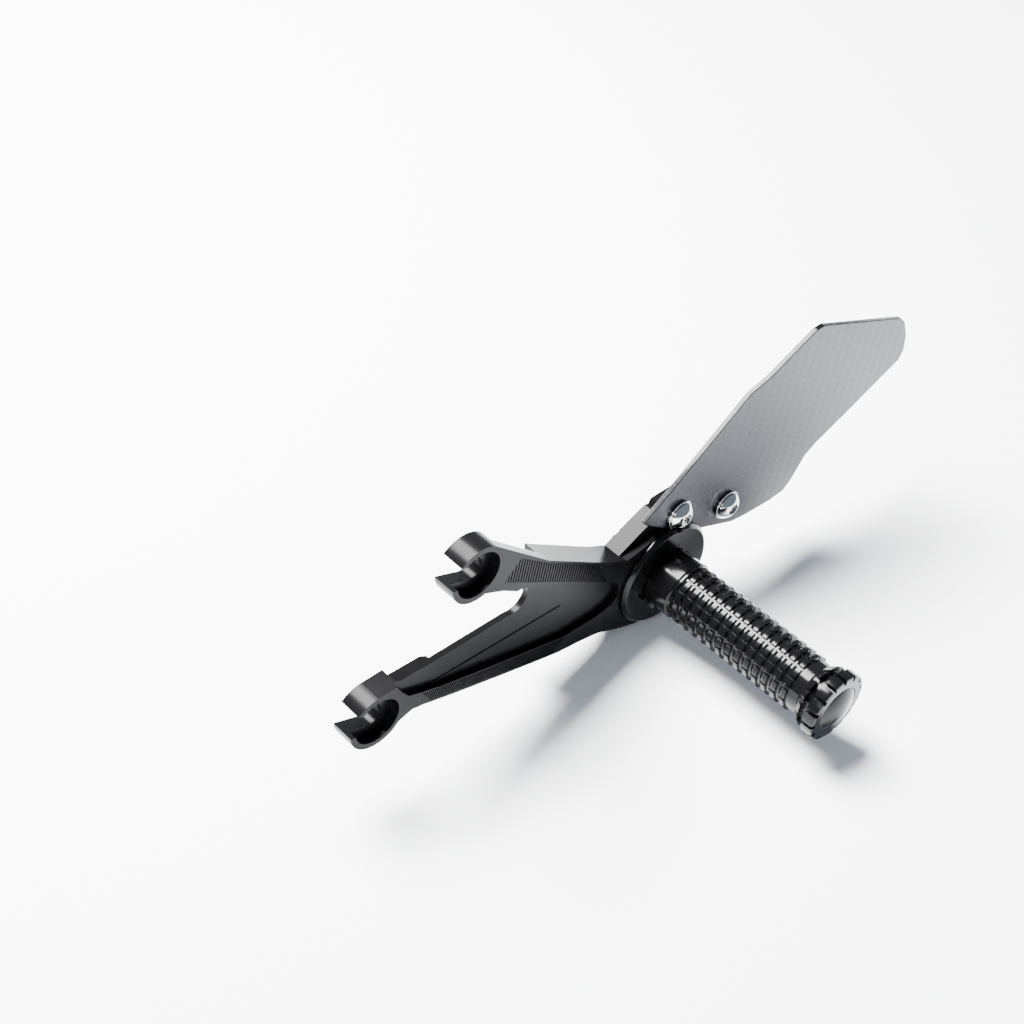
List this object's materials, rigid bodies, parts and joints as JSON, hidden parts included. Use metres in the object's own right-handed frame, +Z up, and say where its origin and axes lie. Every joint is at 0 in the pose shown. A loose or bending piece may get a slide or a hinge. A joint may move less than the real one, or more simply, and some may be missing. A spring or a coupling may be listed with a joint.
{
  "type": "motorcycle foot peg",
  "caption": "Right-hand motorcycle foot peg: a knurled peg on a forked billet hanger with two open hooks, and a bolted bracket with a thin heel guard.",
  "frame": {"origin": "on the peg's axis, in the plane of the hanger's inboard face, where the lever spigot starts", "axes": "+Y inboard along the peg's axis, so the peg points to -Y; -X towards the hooks; +Z up, towards the heel guard's top"},
  "size_m": [0.2695, 0.1067, 0.0979],
  "materials": {
    "anodised": "bead-blasted black anodised, satin, with bright machined edges",
    "anodised_gloss": "turned black anodised, semi-gloss",
    "carbon": "clear-coated twill carbon fibre laminate",
    "stainless": "polished stainless steel",
    "steel": "ground steel",
    "steel_dark": "black oxide steel",
    "bronze": "sintered bronze",
    "seal_rubber": "moulded nitrile"
  },
  "bodies": {
    "frame_side": {"hanger": "anodised", "peg_boss": "anodised_gloss", "boss_dowels": "steel", "boss_screws": "steel_dark", "guard_bracket": "anodised", "bracket_screws": "steel_dark", "guard_inserts": "steel", "heel_guard": "carbon", "guard_washers": "stainless", "guard_bolts": "stainless", "lever_spigot": "steel", "peg_bolt": "steel_dark", "bolt_spring_washer": "steel", "bolt_washer": "steel"},
    "peg": {"bolt_bush": "bronze", "peg_core": "anodised_gloss", "core_dowel": "steel", "peg_sleeve": "anodised_gloss", "peg_end_flange": "anodised_gloss", "end_plug": "anodised_gloss", "plug_seal": "seal_rubber", "neck_screw": "steel_dark"}
  },
  "joints": [
    {"name": "peg_turn", "type": "hinge", "parent": "frame_side", "child": "peg", "pos_m": [0, 0, 0], "axis": [0, -1, 0], "continuous": true}
  ]
}
